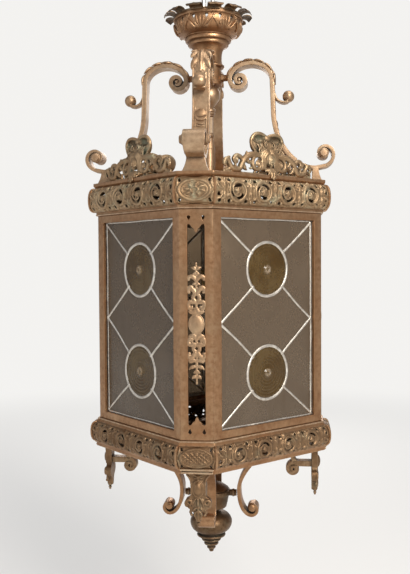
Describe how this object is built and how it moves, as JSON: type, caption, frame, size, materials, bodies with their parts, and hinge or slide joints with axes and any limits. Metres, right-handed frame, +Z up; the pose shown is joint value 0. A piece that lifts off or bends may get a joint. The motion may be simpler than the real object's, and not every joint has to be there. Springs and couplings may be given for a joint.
{
  "type": "stained glass lantern",
  "caption": "Hanging bronze lantern with leaded glass sides and amber rondels, scroll arms under a bowl canopy, cast crests, corner pendants, a hinged side and a turned finial.",
  "frame": {"origin": "the inner top of the suspension link, where it bears on its hook, on the lantern's axis", "axes": "+Z up along the lantern's axis; +X out of the wide face on the right of the picture, -Y out of the wide face on its left, -X out of the hinged side"},
  "size_m": [0.3554, 0.3554, 1.0542],
  "materials": {
    "bronze": "aged golden bronze, satin",
    "cast_bronze": "cast and chased bronze, worn on its high points",
    "dark_bronze": "darkened bronze",
    "steel": "dull steel",
    "lead": "pale matt came",
    "clear_glass": "dusty textured clear glass",
    "amber_glass": "spun amber glass with a bull's-eye",
    "brass": "lacquered brass",
    "opal_glass": "opal lamp glass"
  },
  "bodies": {
    "hanger": {"suspension_link": "steel"},
    "lantern": {"eyebolt": "steel", "canopy_crown": "dark_bronze", "canopy_bowl": "bronze", "hub_neck": "bronze", "hub_collar": "bronze", "central_stem": "bronze", "top_plate": "bronze", "top_cornice": "cast_bronze", "top_ledge": "bronze", "bottom_ledge": "bronze", "bottom_cornice": "cast_bronze", "bottom_plate": "bronze", "hub_drum": "dark_bronze", "bottom_finial": "dark_bronze", "lamp_holder": "brass", "lamp_bulb": "opal_glass", "corner_panel_front": "bronze", "corner_panel_right": "bronze", "corner_panel_back": "bronze", "corner_panel_left": "bronze", "scroll_arm_front": "bronze", "scroll_arm_right": "bronze", "scroll_arm_back": "bronze", "scroll_arm_left": "bronze", "corner_pendant_front": "cast_bronze", "corner_pendant_right": "cast_bronze", "corner_pendant_back": "cast_bronze", "corner_pendant_left": "cast_bronze", "scroll_bracket_front": "bronze", "scroll_bracket_right": "bronze", "scroll_bracket_back": "bronze", "scroll_bracket_left": "bronze", "face_frame_right": "bronze", "face_frame_rear_right": "bronze", "face_frame_left": "bronze", "crest_right": "cast_bronze", "crest_rear_right": "cast_bronze", "crest_door": "cast_bronze", "crest_left": "cast_bronze", "lead_cames_right": "lead", "lead_cames_rear_right": "lead", "lead_cames_left": "lead", "clear_glass_right": "clear_glass", "clear_glass_rear_right": "clear_glass", "clear_glass_left": "clear_glass", "rondel_upper_right": "amber_glass", "rondel_upper_rear_right": "amber_glass", "rondel_upper_left": "amber_glass", "rondel_lower_right": "amber_glass", "rondel_lower_rear_right": "amber_glass", "rondel_lower_left": "amber_glass", "hinge_pin_upper": "steel", "hinge_pin_lower": "steel"},
    "door": {"door_frame": "bronze", "lead_cames_door": "lead", "clear_glass_door": "clear_glass", "rondel_upper_door": "amber_glass", "rondel_lower_door": "amber_glass"},
    "latch": {"door_latch": "brass"}
  },
  "joints": [
    {"name": "lantern_swing", "type": "hinge", "parent": "hanger", "child": "lantern", "pos_m": [0, 0, -0.062], "axis": [0.7071, 0.7071, 0], "range_deg": [-20, 20]},
    {"name": "door_hinge", "type": "hinge", "parent": "lantern", "child": "door", "pos_m": [-0.1675, 0.1247, -0.605], "axis": [0, 0, -1], "range_deg": [0, 100]},
    {"name": "latch_turn", "type": "hinge", "parent": "door", "child": "latch", "pos_m": [-0.163, -0.115, -0.6052], "axis": [-1, 0, 0], "range_deg": [0, 90]}
  ]
}
